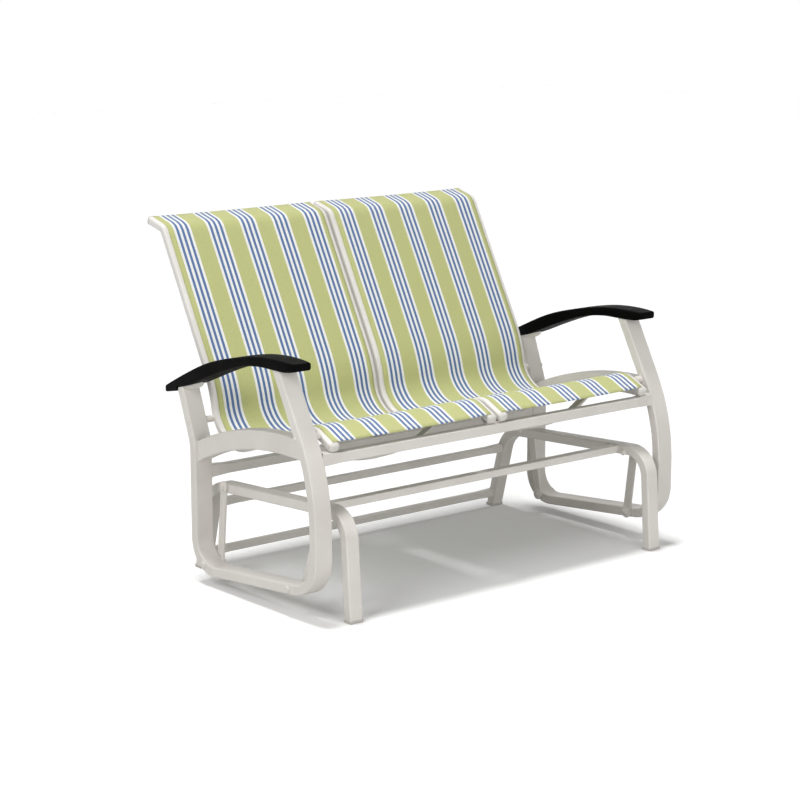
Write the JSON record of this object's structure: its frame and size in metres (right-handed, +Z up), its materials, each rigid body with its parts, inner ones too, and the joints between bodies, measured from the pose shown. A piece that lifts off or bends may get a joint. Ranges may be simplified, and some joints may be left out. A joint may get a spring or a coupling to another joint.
{
  "type": "glider bench",
  "caption": "Sling glider bench for a porch: bent tube base, hanger links, looped side frames with moulded arms and striped fabric slings that swing fore and aft.",
  "frame": {"origin": "on the floor, under the middle of the overall box", "axes": "+X to the right as seen from the front, which left and right in the names follow too, -Y to the front of the seat, +Z up"},
  "size_m": [1.216, 0.83, 0.8932],
  "materials": {
    "frame_paint": "satin powder coat",
    "rail_paint": "satin powder coat",
    "hardware": "satin",
    "arm_polymer": "satin moulded",
    "cap_polymer": "satin moulded",
    "foot_polymer": "matte",
    "bush_polymer": "smooth",
    "cord_polymer": "smooth",
    "sling_fabric": "woven mesh with stripes"
  },
  "bodies": {
    "base": {"base_front_crossbar": "frame_paint", "base_rear_lower_crossbar": "frame_paint", "base_rear_upper_crossbar": "frame_paint", "base_side_left": "frame_paint", "base_side_right": "frame_paint", "foot_glide_front_left": "foot_polymer", "foot_glide_front_right": "foot_polymer", "foot_glide_rear_left": "foot_polymer", "foot_glide_rear_right": "foot_polymer", "upper_pivot_bolts": "hardware"},
    "link_front_left": {"bushings_front_left": "bush_polymer", "hanger_front_left": "frame_paint"},
    "link_front_right": {"bushings_front_right": "bush_polymer", "hanger_front_right": "frame_paint"},
    "link_rear_left": {"bushings_rear_left": "bush_polymer", "hanger_rear_left": "frame_paint"},
    "link_rear_right": {"bushings_rear_right": "bush_polymer", "hanger_rear_right": "frame_paint"},
    "carriage": {"arm_left": "arm_polymer", "arm_mount_left": "frame_paint", "arm_mount_right": "frame_paint", "arm_right": "arm_polymer", "arm_screws": "hardware", "back_spreader_left": "frame_paint", "back_spreader_right": "frame_paint", "front_seat_rail": "frame_paint", "lower_pivot_bolts": "hardware", "middle_bracket_front": "frame_paint", "middle_bracket_rear": "frame_paint", "rail_cap_front_left_inner": "cap_polymer", "rail_cap_front_left_outer": "cap_polymer", "rail_cap_front_right_inner": "cap_polymer", "rail_cap_front_right_outer": "cap_polymer", "rail_cap_top_left_inner": "cap_polymer", "rail_cap_top_left_outer": "cap_polymer", "rail_cap_top_right_inner": "cap_polymer", "rail_cap_top_right_outer": "cap_polymer", "rail_spacers": "frame_paint", "rear_seat_rail": "frame_paint", "seat_spreader_left": "frame_paint", "seat_spreader_right": "frame_paint", "side_arch_left": "frame_paint", "side_arch_right": "frame_paint", "side_frame_left": "frame_paint", "side_frame_right": "frame_paint", "sling_left": "sling_fabric", "sling_rail_left_inner": "rail_paint", "sling_rail_left_outer": "rail_paint", "sling_rail_right_inner": "rail_paint", "sling_rail_right_outer": "rail_paint", "sling_right": "sling_fabric", "sling_splines_left": "cord_polymer", "sling_splines_right": "cord_polymer", "spacer_bolts": "hardware"}
  },
  "joints": [
    {"name": "front_left_hanger_swing", "type": "hinge", "parent": "base", "child": "link_front_left", "pos_m": [-0.528, -0.31005, 0.25079], "axis": [1, 0, 0], "range_deg": [-12, 12]},
    {"name": "bench_glide", "type": "hinge", "parent": "link_front_left", "child": "carriage", "pos_m": [-0.5455, -0.26705, 0.06778], "axis": [1, 0, 0], "range_deg": [-14.2, 14.2]},
    {"name": "front_right_hanger_swing", "type": "hinge", "parent": "base", "child": "link_front_right", "pos_m": [0.528, -0.31005, 0.25079], "axis": [1, 0, 0], "range_deg": [-12.2, 12.2]},
    {"name": "rear_left_hanger_swing", "type": "hinge", "parent": "base", "child": "link_rear_left", "pos_m": [-0.528, 0.09495, 0.23812], "axis": [1, 0, 0], "range_deg": [-12, 12]},
    {"name": "rear_right_hanger_swing", "type": "hinge", "parent": "base", "child": "link_rear_right", "pos_m": [0.528, 0.09495, 0.23812], "axis": [1, 0, 0], "range_deg": [-12, 12]}
  ],
  "couplings": [
    {"joint": "bench_glide", "follows": "front_left_hanger_swing", "ratio": -1.1542},
    {"joint": "front_right_hanger_swing", "follows": "front_left_hanger_swing", "ratio": 1},
    {"joint": "rear_left_hanger_swing", "follows": "front_left_hanger_swing", "ratio": 0.96095},
    {"joint": "rear_right_hanger_swing", "follows": "front_left_hanger_swing", "ratio": 0.96095}
  ]
}
